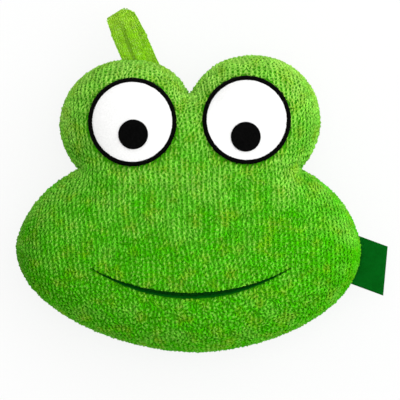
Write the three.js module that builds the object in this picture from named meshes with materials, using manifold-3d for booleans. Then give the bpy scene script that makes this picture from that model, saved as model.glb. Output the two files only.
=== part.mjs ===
// A frog-head bath sponge: two terry panels sewn together over a foam core, a face of sewn-on patches,
// and a hanging loop and a folded tag caught in the seam.
// Millimetres. The head lies on its back: +X towards the tag, +Y towards the loop, +Z out of the face.
import * as THREE from "three";
import { mergeVertices } from "three/addons/utils/BufferGeometryUtils.js";
import Module from "manifold-3d";

// Eyes: a white patch, a sewn ring round it and a pupil on it
const whiteRadius = 16.15;
const ringWidth = 1.7;
const eyeGap = 10.4; // between the two rings
const eyeMiddleX = 0.43;
const leftEyeY = 40.4;
const rightEyeY = 41.2;
const pupilRadius = 6;
const pupilInset = 0.38; // towards the other eye
const leftPupilDrop = 5.05;
const rightPupilDrop = 6.8;
const patchThickness = 0.9;
const ringThickness = 1.5;
const pupilThickness = 0.9;

// Head outline at the seam: anchors, then the lengths of the curve handles at them
const cheekReach = 70;
const leftCheekY = -10;
const rightCheekY = -11;
const chinX = 2.5;
const chinY = -53;
const notchOut = 4.75; // side notch, beyond the eye's ring
const notchY = 21.6;
const leftBumpRise = 7.75; // top of the bump, above the eye's ring
const rightBumpRise = 8.75;
const leftBumpOut = 1.78; // top of the bump, outward of the eye's middle
const rightBumpOut = 2.62;
const crotchX = 0.5;
const crotchDrop = 14.3; // dip between the bumps, below the mean of their tops
const chinHandle = 28;
const cheekHandleDown = 26.4;
const cheekHandleUp = 3.4;
const notchHandleLow = new THREE.Vector2(21, -10.8);
const notchHandleHigh = new THREE.Vector2(16.6, 19.5);
const leftBumpHandle = 22.4;
const rightBumpHandle = 24.1;
const bumpInnerHandle = 11;
const crotchHandle = new THREE.Vector2(6.2, 10.9);

// Swell of the two panels, from the seam
const headThickness = 52;
const frontCrown = 28;
const backCrown = headThickness - frontCrown;
const frontRound = 27; // smooth distance from the seam at which the front is full
const backRound = 20; // and at which the back lies flat

// Terry, seam and clearances
const terry = 2.5; // thickness of a panel
const seamAllowance = 7; // turned in from the outline
const stitchInset = 4.6; // sewing line, from the outline
const threadRadius = 0.35;
const clearance = 0.3; // between pieces that lie on each other, and from a fold line to each end at it

// Mouth: an arc of thick stitching
const mouthX = 0.9;
const mouthY = -29.65; // lowest point of its middle line
const mouthWidth = 80.6;
const mouthRadius = 78.5;
const mouthStitch = 2.3; // width at the middle
const mouthTip = 0.3; // width at the tips
const mouthThickness = 0.9;

// Hanging loop: a terry strip, folded over and sewn in by both ends
const loopFromTop = 3.3; // along the seam from the top of the left bump
const loopLean = THREE.MathUtils.degToRad(23.2); // from +Y towards -X
const loopLength = 18; // from its sewn end to its top
const loopWidth = 10;
const loopStrip = 1.6; // thickness
const loopSwell = 5; // half the width of its eye, to the middle of the strip
const loopStagger = 2.2; // sideways from the middle: the front end to the left, the back end to the right
const loopOut = 2.2; // fold line, beyond the seam

// Side tag: a ribbon folded in half, sewn in by both ends
const tagFromCheek = 5.1; // along the seam, below the widest point of the right cheek
const tagLength = 9.7; // from its fold line to its outer edge
const tagDroop = THREE.MathUtils.degToRad(20.2); // from +X towards -Y
const tagTurn = THREE.MathUtils.degToRad(6); // of its fold line from the seam, anticlockwise
const tagWidth = 20;
const tagRibbon = 0.35; // thickness
const tagOut = 1.2; // fold line, beyond the seam

// Fineness of the meshes
const outlineSteps = { jaw: 11, cheek: 6, brow: 9, inner: 5 };
const outerRings = 8;
const innerRings = 5;
const patchSteps = 36;
const patchRings = 3;
const mouthSteps = 26;
const loopSteps = 26;
const threadSides = 5;
const weld = 1e-3; // points nearer than this are one
const nearly = 1e-9; // areas smaller than this are none
const turnStep = 0.01; // for the direction of the loop's path

const wasm = await Module();
wasm.setup();

const ringRadius = whiteRadius + ringWidth;
const eyeOut = ringRadius + eyeGap / 2;
const leftEye = new THREE.Vector2(eyeMiddleX - eyeOut, leftEyeY);
const rightEye = new THREE.Vector2(eyeMiddleX + eyeOut, rightEyeY);

// Outline

const chin = new THREE.Vector2(chinX, chinY);
const leftTop = new THREE.Vector2(leftEye.x - leftBumpOut, leftEye.y + ringRadius + leftBumpRise);
const rightTop = new THREE.Vector2(rightEye.x + rightBumpOut, rightEye.y + ringRadius + rightBumpRise);
const crotch = new THREE.Vector2(crotchX, (leftTop.y + rightTop.y) / 2 - crotchDrop);

// The four curves of one side, from the chin up to the dip between the bumps; side is 1 right, -1 left.
function sideCurves(side, eye, cheekY, top, bumpHandle) {
  const beside = (point, across, up) => new THREE.Vector2(point.x + side * across, point.y + up);
  const curve = (...points) => new THREE.CubicBezierCurve(...points);
  const cheek = new THREE.Vector2(side * cheekReach, cheekY);
  const notch = new THREE.Vector2(eye.x + side * (ringRadius + notchOut), notchY);
  const low = beside(notch, notchHandleLow.x, notchHandleLow.y);
  const high = beside(notch, notchHandleHigh.x, notchHandleHigh.y);
  const inner = beside(crotch, crotchHandle.x, crotchHandle.y);
  return {
    jaw: curve(chin, beside(chin, chinHandle, 0), beside(cheek, 0, -cheekHandleDown), cheek),
    cheek: curve(cheek, beside(cheek, 0, cheekHandleUp), low, notch),
    brow: curve(notch, high, beside(top, bumpHandle, 0), top),
    inner: curve(top, beside(top, -bumpInnerHandle, 0), inner, crotch),
  };
}

const rightCurves = sideCurves(1, rightEye, rightCheekY, rightTop, rightBumpHandle);
const leftCurves = sideCurves(-1, leftEye, leftCheekY, leftTop, leftBumpHandle);

const sidePoints = (curves) =>
  Object.entries(outlineSteps).flatMap(([name, steps]) => curves[name].getSpacedPoints(steps).slice(1));

// Anticlockwise from the chin, round by the right.
const outline = [chin, ...sidePoints(rightCurves), ...sidePoints(leftCurves).slice(0, -1).reverse()];

// The outline moved inwards.
function inset(distance) {
  return outline.map((point, i) => {
    const before = outline.at(i - 1);
    const after = outline[(i + 1) % outline.length];
    const along = after.clone().sub(before).normalize();
    return new THREE.Vector2(point.x - along.y * distance, point.y + along.x * distance);
  });
}

// Smooth distance from the seam: each stretch of it counts by the angle it fills, over its distance.
function seamDistance(point) {
  let nearness = 0;
  outline.forEach((start, i) => {
    const a = start.clone().sub(point);
    const b = outline[(i + 1) % outline.length].clone().sub(point);
    const area = a.cross(b);
    const length = b.distanceTo(a);
    const inLine = Math.abs(area) < nearly;
    nearness += inLine ? length / (a.length() * b.length()) : (Math.atan2(area, a.dot(b)) * length) / area;
  });
  return Math.PI / nearness;
}

// Rise of a rounded edge: 0 at the seam, 1 where it is full.
const swell = (share) => Math.sqrt(1 - (1 - THREE.MathUtils.clamp(share, 0, 1)) ** 2);

const rim = clearance / 2; // each panel's edge, from the seam plane
const flangeTop = rim + terry;
const coreInset = seamAllowance + clearance;

const outerHeight = (point, { crown, round }) => rim + (crown - rim) * swell(seamDistance(point) / round);
const innerHeight = (point, { crown, round }) =>
  flangeTop + (crown - terry - flangeTop) * swell((seamDistance(point) - terry) / (round - terry));

const front = { crown: frontCrown, round: frontRound };
const back = { crown: backCrown, round: backRound };

// Meshes

const at = (point, z) => new THREE.Vector3(point.x, point.y, z);
const hub = new THREE.Vector2(0, 0);
const towardsHub = (points, share) => points.map((point) => hub.clone().lerp(point, share));
const domeShare = (ring, rings) => Math.sin(((ring / rings) * Math.PI) / 2);
const middleOf = (points) =>
  points.reduce((sum, point) => sum.add(point), new THREE.Vector3()).divideScalar(points.length);

// Skin over rings of equally many points: first and last are end points.
// Without them the last ring meets the first.
function loft(rings, first, last) {
  const count = rings[0].length;
  const points = rings.flat();
  const triangles = [];
  const corner = (ring, i) => (ring % rings.length) * count + (i % count);
  const bands = first ? rings.length - 1 : rings.length;
  for (let ring = 0; ring < bands; ring++)
    for (let i = 0; i < count; i++) {
      triangles.push(corner(ring, i), corner(ring + 1, i), corner(ring + 1, i + 1));
      triangles.push(corner(ring, i), corner(ring + 1, i + 1), corner(ring, i + 1));
    }
  if (first)
    for (let i = 0; i < count; i++) {
      triangles.push(points.length, corner(0, i), corner(0, i + 1));
      triangles.push(points.length + 1, corner(rings.length - 1, i + 1), corner(rings.length - 1, i));
    }
  const all = first ? [...points, first, last] : points;
  return facingOut(all, triangles);
}

// The mesh with its faces turned outwards.
function facingOut(points, triangles) {
  let volume = 0;
  for (let i = 0; i < triangles.length; i += 3) {
    const [a, b, c] = triangles.slice(i, i + 3).map((corner) => points[corner]);
    volume += a.dot(b.clone().cross(c));
  }
  const geometry = new THREE.BufferGeometry().setFromPoints(points);
  geometry.setIndex(volume < 0 ? triangles.toReversed() : triangles);
  return geometry;
}

function solidOf(geometry) {
  const bare = new THREE.BufferGeometry().setAttribute("position", geometry.getAttribute("position"));
  const merged = mergeVertices(bare.setIndex(geometry.index), weld);
  const vertProperties = new Float32Array(merged.getAttribute("position").array);
  const triVerts = new Uint32Array(merged.index.array);
  return new wasm.Manifold(new wasm.Mesh({ numProp: 3, vertProperties, triVerts }));
}

function cut(geometry, cutters) {
  const solid = cutters.reduce((left, cutter) => left.subtract(solidOf(cutter)), solidOf(geometry));
  const { vertProperties, triVerts } = solid.getMesh();
  return new THREE.BufferGeometry()
    .setAttribute("position", new THREE.BufferAttribute(vertProperties, 3))
    .setIndex(new THREE.BufferAttribute(triVerts, 1));
}

const head = new THREE.Group();
head.position.z = backCrown; // the seam plane, above the surface that the head lies on

function place(name, geometry, color, roughness) {
  geometry.computeVertexNormals();
  const mesh = new THREE.Mesh(geometry, new THREE.MeshStandardMaterial({ color, roughness, metalness: 0 }));
  mesh.name = name;
  head.add(mesh);
}

const frogGreen = 0x5aab1f;
const loopGreen = 0x7cba23;
const tagGreen = 0x02590e;
const stitchGreen = 0x06380a;
const threadGreen = 0x4c9a1c;
const foamCream = 0xf0e6c2;
const patchWhite = 0xfcfcfa;
const stitchBlack = 0x0a0a0a;

// Pieces that are caught in the seam

// A place on a side's curve: its point, the way out of the head and the way along the fold line, clockwise.
function seamPlace(curve, distance, side, turn) {
  const share = distance / curve.getLength();
  const tangent = curve.getTangentAt(share).rotateAround(hub, turn);
  const out = at(new THREE.Vector2(side * tangent.y, -side * tangent.x), 0);
  return { point: at(curve.getPointAt(share), 0), out, along: new THREE.Vector3(out.y, -out.x, 0) };
}

// A profile drawn outwards and up, extruded along the seam.
function caughtInSeam({ point, along }, reach, profile, width) {
  const shape = new THREE.Shape(profile.map(([out, up]) => new THREE.Vector2(out, up)));
  const geometry = new THREE.ExtrudeGeometry(shape, { depth: width, bevelEnabled: false });
  const basis = new THREE.Matrix4().makeBasis(reach, new THREE.Vector3(0, 0, 1), along);
  basis.setPosition(point.clone().addScaledVector(along, -width / 2));
  geometry.deleteAttribute("normal").deleteAttribute("uv").applyMatrix4(basis);
  return mergeVertices(geometry, weld);
}

const loopPlace = seamPlace(leftCurves.inner, loopFromTop, -1, 0);
const tagPlace = seamPlace(rightCurves.jaw, rightCurves.jaw.getLength() - tagFromCheek, 1, tagTurn);

// The sewn-in end of a strip folded double, from inside the seam to a thin edge at its fold line.
function tailProfile(half, edge, fold) {
  const inner = -seamAllowance;
  const tip = fold - clearance;
  const full = tip - (half - edge);
  return [
    [inner, -half],
    [full, -half],
    [tip, -edge],
    [tip, edge],
    [full, half],
    [inner, half],
  ];
}

// The room for it in the two panels.
function pocketProfile(half, fold) {
  const inner = -seamAllowance - clearance;
  const high = half + clearance;
  return [
    [inner, -high],
    [fold, -high],
    [fold, high],
    [inner, high],
  ];
}

const loopHalf = loopStrip + clearance / 2;
const tagHalf = tagRibbon + clearance / 2;
const foldEdge = clearance; // half the thickness left at a fold line
const loopTailWidth = loopWidth + 2 * loopStagger;
const pocketGap = 2 * clearance;

const loopPocketProfile = pocketProfile(loopHalf, loopOut);
const loopPocket = caughtInSeam(loopPlace, loopPlace.out, loopPocketProfile, loopTailWidth + pocketGap);
const tagPocket = caughtInSeam(tagPlace, tagPlace.out, pocketProfile(tagHalf, tagOut), tagWidth + pocketGap);

// Panels, core and sewing threads

const innerShares = Array.from({ length: innerRings - 1 }, (_, i) => domeShare(i + 1, innerRings)).reverse();
const coreOutline = inset(coreInset);
const innerOutlines = [coreOutline, ...innerShares.map((share) => towardsHub(coreOutline, share))];

// A panel: its dome, its turned-in edge and its inside, each a set of rings; way is 1 up, -1 down.
function panel(swelling, way) {
  const level = (points, z) => points.map((point) => at(point, way * z));
  const domed = (points, height) => points.map((point) => at(point, way * height(point, swelling)));
  const rings = [];
  for (let ring = 1; ring < outerRings; ring++)
    rings.push(domed(towardsHub(outline, domeShare(ring, outerRings)), outerHeight));
  rings.push(level(outline, rim));
  rings.push(level(inset(seamAllowance), rim));
  rings.push(level(inset(seamAllowance), flangeTop));
  rings.push(level(inset(terry), flangeTop));
  rings.push(domed(inset((terry + coreInset) / 2), innerHeight));
  for (const points of innerOutlines) rings.push(domed(points, innerHeight));
  const ends = [...domed([hub], outerHeight), ...domed([hub], innerHeight)];
  // Both panels are skinned downwards, as the core is, so that their facets lie parallel to its own.
  const skin = way > 0 ? loft(rings.reverse(), ...ends.reverse()) : loft(rings, ...ends);
  return cut(skin, [loopPocket, tagPocket]);
}

function core() {
  const top = (point) => at(point, innerHeight(point, front) - clearance);
  const bottom = (point) => at(point, clearance - innerHeight(point, back));
  const rings = [
    ...innerOutlines.toReversed().map((points) => points.map(top)),
    ...innerOutlines.map((points) => points.map(bottom)),
  ];
  return loft(rings, top(hub), bottom(hub));
}

// A thread all round the sewing line, lying on one panel's turned-in edge.
function seamThread(way) {
  const height = flangeTop + clearance + threadRadius;
  const rings = Array.from({ length: threadSides }, (_, side) => {
    const turn = (2 * Math.PI * side) / threadSides;
    const z = way * (height + threadRadius * Math.sin(turn));
    return inset(stitchInset + threadRadius * Math.cos(turn)).map((point) => at(point, z));
  });
  return loft(rings);
}

place("front_cover", panel(front, 1), frogGreen, 0.95);
place("back_cover", panel(back, -1), frogGreen, 0.95);
place("foam_core", core(), foamCream, 0.9);
place("seam_needle_thread", seamThread(1), threadGreen, 0.7);
place("seam_bobbin_thread", seamThread(-1), threadGreen, 0.7);

// Face

const onFace = (point, lift) => at(point, outerHeight(point, front) + clearance + lift);

function circle(middle, radius) {
  return Array.from({ length: patchSteps }, (_, i) => {
    const turn = (2 * Math.PI * i) / patchSteps;
    return new THREE.Vector2(middle.x + radius * Math.cos(turn), middle.y + radius * Math.sin(turn));
  });
}

// A round patch that follows the face, from one lift above it to another.
function patch(middle, radius, low, high) {
  const ringAt = (share, lift) => circle(middle, radius * share).map((point) => onFace(point, lift));
  const shares = Array.from({ length: patchRings }, (_, i) => (i + 1) / patchRings);
  const rings = [
    ...shares.map((share) => ringAt(share, high)),
    ...shares.toReversed().map((share) => ringAt(share, low)),
  ];
  return loft(rings, onFace(middle, high), onFace(middle, low));
}

function eyeRing(middle) {
  const section = [
    [whiteRadius, 0],
    [ringRadius, 0],
    [ringRadius, ringThickness / 2],
    [(whiteRadius + ringRadius) / 2, ringThickness],
    [whiteRadius, ringThickness / 2],
  ];
  return loft(section.map(([radius, lift]) => circle(middle, radius).map((point) => onFace(point, lift))));
}

function mouth() {
  const middle = new THREE.Vector2(mouthX, mouthY + mouthRadius);
  const reach = Math.asin(mouthWidth / 2 / mouthRadius);
  const rings = Array.from({ length: mouthSteps + 1 }, (_, i) => {
    const share = (2 * i) / mouthSteps - 1;
    const turn = share * reach;
    const half = mouthTip / 2 + ((mouthStitch - mouthTip) / 2) * Math.cos((share * Math.PI) / 2);
    const across = (offset, lift) => {
      const radius = mouthRadius + offset;
      const x = middle.x + radius * Math.sin(turn);
      return onFace(new THREE.Vector2(x, middle.y - radius * Math.cos(turn)), lift);
    };
    const shoulder = mouthThickness / 2;
    const foot = [across(-half, 0), across(half, 0)];
    return [...foot, across(half, shoulder), across(0, mouthThickness), across(-half, shoulder)];
  });
  return loft(rings, middleOf(rings[0]), middleOf(rings.at(-1)));
}

const leftPupil = new THREE.Vector2(leftEye.x + pupilInset, leftEye.y - leftPupilDrop);
const rightPupil = new THREE.Vector2(rightEye.x - pupilInset, rightEye.y - rightPupilDrop);
const eyes = [
  { side: "left", middle: leftEye, pupil: leftPupil },
  { side: "right", middle: rightEye, pupil: rightPupil },
];
for (const { side, middle, pupil } of eyes) {
  const pupilBase = patchThickness + clearance;
  place(side + "_eye_white", patch(middle, whiteRadius - clearance, 0, patchThickness), patchWhite, 0.8);
  place(side + "_eye_ring", eyeRing(middle), stitchBlack, 0.6);
  place(side + "_pupil", patch(pupil, pupilRadius, pupilBase, pupilBase + pupilThickness), stitchBlack, 0.6);
}
place("mouth_line", mouth(), stitchGreen, 0.7);

// Hanging loop

// The strip runs up its back leg, round a drop-shaped eye and down its front leg.
// Each leg is thinned at the fold line.
function hangingLoop() {
  const { point, out, along } = loopPlace;
  const lean = new THREE.Vector3(-Math.sin(loopLean), Math.cos(loopLean), 0);
  const square = new THREE.Vector3(lean.y, -lean.x, 0);
  const start = point.clone().addScaledVector(out, loopOut + clearance);
  const fullest = Math.sin((2 * Math.PI) / 3) * Math.sin(Math.PI / 3) ** 2;
  const topOfStrip = loopLength - loopStrip / 2;
  const path = (turn) => {
    const drop = (loopSwell / fullest) * Math.sin(turn) * Math.sin(turn / 2) ** 2;
    const reach = (topOfStrip * (1 - Math.cos(turn))) / 2;
    return new THREE.Vector2(reach, -drop - (loopHalf - loopStrip / 2) * Math.cos(turn / 2));
  };
  const section = (turn, reach, inner, outer) => {
    const share = reach / topOfStrip;
    const across = along.clone().lerp(square, share).normalize();
    const middle = start.clone().addScaledVector(along, loopStagger * Math.cos(turn / 2));
    const corner = (side, [away, z]) =>
      middle.clone().addScaledVector(lean, away).addScaledVector(across, (side * loopWidth) / 2).setZ(z);
    return [corner(-1, inner), corner(1, inner), corner(1, outer), corner(-1, outer)];
  };
  const foldLine = (turn, side) => section(turn, 0, [0, (side * clearance) / 2], [0, side * foldEdge]);
  const firstTurn = Math.acos(1 - (2 * loopStrip) / topOfStrip);
  const rings = [foldLine(0, -1)];
  for (let i = 0; i <= loopSteps; i++) {
    const turn = THREE.MathUtils.lerp(firstTurn, 2 * Math.PI - firstTurn, i / loopSteps);
    const middle = path(turn);
    const along2d = path(turn + turnStep).sub(path(turn - turnStep)).normalize();
    const half = new THREE.Vector2(-along2d.y, along2d.x).multiplyScalar(loopStrip / 2);
    const inner = middle.clone().add(half);
    const outer = middle.clone().sub(half);
    rings.push(section(turn, middle.x, inner.toArray(), outer.toArray()));
  }
  rings.push(foldLine(2 * Math.PI, 1));
  return loft(rings, middleOf(rings[0]), middleOf(rings.at(-1)));
}

place("hanging_loop", hangingLoop(), loopGreen, 0.95);
const loopTail = tailProfile(loopHalf, foldEdge, loopOut);
place("loop_tail", caughtInSeam(loopPlace, loopPlace.out, loopTail, loopTailWidth), loopGreen, 0.95);

// Side tag

// Two leaves with a gap between them, joined at the outer edge.
function tagProfile() {
  const base = tagOut + clearance;
  const outer = tagOut + tagLength;
  const full = base + tagHalf - foldEdge;
  const slot = clearance / 2;
  return [
    [base, -slot],
    [base, -foldEdge],
    [full, -tagHalf],
    [outer - tagRibbon, -tagHalf],
    [outer, -slot],
    [outer, slot],
    [outer - tagRibbon, tagHalf],
    [full, tagHalf],
    [base, foldEdge],
    [base, slot],
    [outer - tagRibbon, slot],
    [outer - tagRibbon, -slot],
  ];
}

const tagReach = new THREE.Vector3(Math.cos(tagDroop), -Math.sin(tagDroop), 0);
place("side_tag", caughtInSeam(tagPlace, tagReach, tagProfile(), tagWidth), tagGreen, 0.6);
const tagTail = tailProfile(tagHalf, foldEdge, tagOut);
place("tag_tail", caughtInSeam(tagPlace, tagPlace.out, tagTail, tagWidth), tagGreen, 0.6);

const sponge = new THREE.Group();
sponge.add(head);

export default sponge;
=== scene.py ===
import math

import bpy
import numpy as np
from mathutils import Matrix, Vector


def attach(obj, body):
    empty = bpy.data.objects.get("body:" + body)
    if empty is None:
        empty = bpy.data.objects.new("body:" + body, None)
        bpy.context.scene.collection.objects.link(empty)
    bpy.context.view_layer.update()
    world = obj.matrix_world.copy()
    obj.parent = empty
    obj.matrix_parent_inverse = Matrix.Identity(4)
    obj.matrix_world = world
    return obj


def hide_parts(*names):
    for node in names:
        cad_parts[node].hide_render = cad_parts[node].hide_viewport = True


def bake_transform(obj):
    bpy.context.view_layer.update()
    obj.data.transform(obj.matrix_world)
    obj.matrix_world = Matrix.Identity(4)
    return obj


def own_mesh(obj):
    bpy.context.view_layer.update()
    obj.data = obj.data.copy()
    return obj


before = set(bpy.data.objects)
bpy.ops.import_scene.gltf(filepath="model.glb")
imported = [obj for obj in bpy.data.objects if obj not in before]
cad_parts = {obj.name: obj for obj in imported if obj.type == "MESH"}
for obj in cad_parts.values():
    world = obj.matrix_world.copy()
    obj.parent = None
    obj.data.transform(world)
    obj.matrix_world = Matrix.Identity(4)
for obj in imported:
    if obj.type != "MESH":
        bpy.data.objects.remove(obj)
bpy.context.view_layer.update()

# Lengths here are millimetres in the part's frame: the head lies on its back, with the face up.
mm = 0.001
random = np.random.default_rng(41)
curvePoints = 400  # points on a curve before it is cut into even steps

head = {
    "seam": 24.0, "rim": 0.15, "terry": 2.5, "flange": 7.0, "coreInset": 7.3, "coreGap": 0.3,
    "crease": 0.9, "creaseHalf": 1.2, "domeRings": 64, "innerRings": 10,
    "chin": (2.5, -53.0), "chinHandle": 28.0,
    "cheek": 70.0, "cheekDown": 26.4, "cheekUp": 3.4,
    "notchOut": 22.6, "notchY": 21.6, "notchLow": (21.0, -10.8), "notchHigh": (16.6, 19.5),
    "topHandle": 11.0, "crotch": (0.5, 52.6), "crotchHandle": (6.2, 10.9),
}
rightSide = {"way": 1, "eye": (23.48, 41.2), "cheekY": -11.0, "top": (26.1, 67.8), "handle": 24.1}
leftSide = {"way": -1, "eye": (-22.62, 40.4), "cheekY": -10.0, "top": (-24.4, 66.0), "handle": 22.4}
front = {"way": 1, "crown": 28.0, "round": 27.0}
back = {"way": -1, "crown": 24.0, "round": 20.0}


# Meshes

def evenly(points, steps):
    reach = np.concatenate([[0], np.cumsum(np.linalg.norm(np.diff(points, axis=0), axis=1))])
    wanted = np.linspace(0, reach[-1], steps + 1)
    return np.stack([np.interp(wanted, reach, points[:, k]) for k in range(points.shape[1])], 1)


def bezier(a, b, c, d, steps):
    t = np.linspace(0, 1, curvePoints)[:, None]
    a, b, c, d = (np.array(p, float) for p in (a, b, c, d))
    points = (1 - t) ** 3 * a + 3 * (1 - t) ** 2 * t * b + 3 * (1 - t) * t ** 2 * c + t ** 3 * d
    return evenly(points, steps)


def unit(v):
    return v / np.maximum(np.linalg.norm(v, axis=-1, keepdims=True), 1e-12)


def ringFaces(rings, count, closed):
    i = np.arange(rings if closed else rings - 1)[:, None]
    j = np.arange(count)[None]
    after = (j + 1) % count
    low = i * count
    high = ((i + 1) % rings) * count
    return np.stack([low + j, low + after, high + after, high + j], -1).reshape(-1, 4)


# A closed skin over rings of points, which ends in two points or joins up with itself.
def skin(rings, first=None, last=None):
    rings = np.asarray(rings, float)
    count = rings.shape[1]
    faces = ringFaces(len(rings), count, first is None).tolist()
    points = rings.reshape(-1, 3)
    if first is not None:
        start = len(points)
        points = np.concatenate([points, [first], [last]])
        end = (len(rings) - 1) * count
        for j in range(count):
            k = (j + 1) % count
            faces.append([start, k, j])
            faces.append([start + 1, end + j, end + k])
    return points, faces


# Turns the faces over where they look inwards.
def outward(points, faces):
    corners = [points[[f[a] for f in faces]] for a in (0, 1, 2)]
    volume = np.einsum("ij,ij->", corners[0], np.cross(corners[1], corners[2]))
    quads = [f for f in faces if len(f) == 4]
    if quads:
        more = [points[[f[a] for f in quads]] for a in (0, 2, 3)]
        volume += np.einsum("ij,ij->", more[0], np.cross(more[1], more[2]))
    return faces if volume > 0 else [f[::-1] for f in faces]


def piece(name, points, faces, shader):
    points = np.asarray(points, float)
    mesh = bpy.data.meshes.new(name)
    mesh.from_pydata((points * mm).tolist(), [], outward(points, faces))
    return linked(name, mesh, shader)


def linked(name, mesh, shader):
    mesh.polygons.foreach_set("use_smooth", np.ones(len(mesh.polygons), bool))
    mesh.materials.append(shader)
    made = bpy.data.objects.new(name, mesh)
    bpy.context.scene.collection.objects.link(made)
    return made


def addValues(mesh, name, values):
    mesh.attributes.new(name, "FLOAT", "POINT").data.foreach_set("value", np.asarray(values, np.float32))


# Materials: scales of the noises, per metre, and pitches and depths in metres.
grain = {
    "patches": 90.0, "fading": 170.0, "highlightPatches": 420.0, "fibres": 2600.0, "fuzz": 3200.0, "fuzzDeep": 0.0002,
    "knit": 1700.0, "knitBumps": 1500.0, "knitDeep": 0.0004,
    "strands": 1400.0, "twist": 4200.0, "twistDeep": 0.00012,
    "felt": 1500.0, "feltDeep": 0.0002,
    "rib": 0.00042, "warp": 0.0003, "dust": 260.0, "weaveDeep": 0.00008,
    "cells": 700.0, "cellDeep": 0.0008,
}


def newShader(name, values):
    made = bpy.data.materials.new(name)
    made.use_nodes = True
    shader = made.node_tree.nodes["Principled BSDF"]
    for socket, value in values.items():
        shader.inputs[socket].default_value = value
    return made, made.node_tree, shader


def node(tree, kind, inputs=None, **settings):
    made = tree.nodes.new(kind)
    for key, value in settings.items():
        setattr(made, key, value)
    for key, value in (inputs or {}).items():
        if isinstance(value, bpy.types.NodeSocket):
            tree.links.new(value, made.inputs[key])
        else:
            made.inputs[key].default_value = value
    return made


def objectPlace(tree):
    return node(tree, "ShaderNodeTexCoord").outputs["Object"]


def attribute(tree, name):
    return node(tree, "ShaderNodeAttribute", attribute_name=name).outputs["Fac"]


def blendColour(tree, share, a, b, kind="MIX"):
    made = node(tree, "ShaderNodeMix", {0: share, 6: a, 7: b}, data_type="RGBA", blend_type=kind)
    return made.outputs[2]


def times(tree, first, *others):
    total = first
    for more in others:
        total = node(tree, "ShaderNodeMath", {0: total, 1: more}, operation="MULTIPLY").outputs[0]
    return total


def spread(tree, value, low, high, start, end):
    ends = {"Value": value, "From Min": low, "From Max": high, "To Min": start, "To Max": end}
    return node(tree, "ShaderNodeMapRange", ends).outputs["Result"]


def noise(tree, place, scale, detail=2.0):
    made = node(tree, "ShaderNodeTexNoise", {"Vector": place, "Scale": scale, "Detail": detail})
    return made.outputs["Fac"]


def bump(tree, shader, height, strength, distance):
    made = node(tree, "ShaderNodeBump", {"Height": height, "Strength": strength, "Distance": distance})
    tree.links.new(made.outputs["Normal"], shader.inputs["Normal"])


# Colours are written as levels on a screen, 0 to 255.
def linear(r, g, b):
    level = [((c / 255 + 0.055) / 1.055) ** 2.4 if c > 10 else c / 255 / 12.92 for c in (r, g, b)]
    return (*level, 1.0)


# How far up the head a point is, with mottling: painted light makes the colour paler and yellower towards the
# top; the mottling is the dye's own.
def mottleAndPaintedTopLight(tree, place, look):
    up = node(tree, "ShaderNodeSeparateXYZ", {0: place}).outputs["Y"]
    mottle = look["mottle"]
    patches = spread(tree, noise(tree, place, grain["patches"], 3.0), 0.34, 0.66, -mottle, mottle)
    rise = spread(tree, up, look["lowY"] * mm, look["highY"] * mm, 0.0, 1.0)
    return node(tree, "ShaderNodeMath", {0: rise, 1: patches}, operation="ADD", use_clamp=True).outputs[0]


# Yarn: each stitch has its own tint; painted shade makes its foot darker than its head, and a painted
# highlight makes its ridge paler in patches.
def yarnShader(name, look):
    made, tree, shader = newShader(name, {
        "Roughness": 0.95, "Specular IOR Level": 0.02, "Sheen Weight": look["sheen"], "Sheen Roughness": 0.5,
        "Sheen Tint": linear(*look["sheenTint"]),
    })
    place = objectPlace(tree)
    across = node(tree, "ShaderNodeSeparateXYZ", {0: place}).outputs["X"]
    cheek = head["cheek"] * mm
    lift = attribute(tree, "lift")
    # Painted light: the "high" colour is painted at the top, the "low" colour towards the chin.
    colour = blendColour(tree, mottleAndPaintedTopLight(tree, place, look), linear(*look["low"]), linear(*look["high"]))
    faded = spread(tree, noise(tree, place, grain["fading"], 4.0), 0.5, 0.7, 0.0, look["fade"])
    colour = blendColour(tree, faded, colour, linear(*look["faded"]))
    # Painted highlight: the ridges are paler in patches, and less so towards the right rim.
    paintedHighlight = spread(tree, noise(tree, place, grain["highlightPatches"], 3.0), 0.38, 0.66, 0.0, look["paintedHighlight"])
    ridge = spread(tree, lift, 0.35, 1.0, 0.0, 1.0)
    rim = spread(tree, across, look["rimX"] * mm, cheek, 1.0, 1 - look["rim"])
    colour = blendColour(tree, times(tree, paintedHighlight, ridge, rim), colour, linear(*look["pale"]))
    level = spread(tree, attribute(tree, "tint"), 0.0, 1.0, *look["tints"])
    fibres = spread(tree, noise(tree, place, grain["fibres"]), 0.3, 0.7, 0.92, 1.02)
    # Painted light: the yarn is painted lighter towards the right cheek and darker towards the left.
    paintedSideLight = spread(tree, across, -cheek, cheek, 1 - look["paintedSideLight"], 1 + look["paintedSideLight"])
    # Painted shade: the yarn is darker at the left cheek's edge.
    edge = spread(tree, across, -cheek, look["leftShadeX"] * mm, 1 - look["edge"], 1.0)
    level = times(tree, level, fibres, paintedSideLight, edge)
    grey = node(tree, "ShaderNodeCombineColor", {"Red": level, "Green": level, "Blue": level})
    colour = blendColour(tree, 1.0, colour, grey.outputs["Color"], "MULTIPLY")
    # Painted shade: each stitch's foot is blended towards the darker green, where the pile shades it.
    foot = spread(tree, lift, 0.0, 1.0, look["foot"], 0.0)
    colour = blendColour(tree, foot, colour, linear(*look["paintedShade"]))
    tree.links.new(colour, shader.inputs["Base Color"])
    bump(tree, shader, noise(tree, place, grain["fuzz"]), 0.5, grain["fuzzDeep"])
    return made


# Knitted ground under the pile, painted darker than the yarn as painted shade, and mottled by the knit.
def groundShader(name, look):
    made, tree, shader = newShader(name, {"Roughness": 0.95, "Specular IOR Level": 0.1})
    place = objectPlace(tree)
    share = spread(tree, noise(tree, place, grain["knit"], 3.0), 0.35, 0.65, 0.0, 1.0)
    colour = blendColour(tree, share, linear(*look["paintedShade"]), linear(*look["ground"]))
    tree.links.new(colour, shader.inputs["Base Color"])
    bump(tree, shader, noise(tree, place, grain["knitBumps"], 3.0), 0.8, grain["knitDeep"])
    return made


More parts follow.
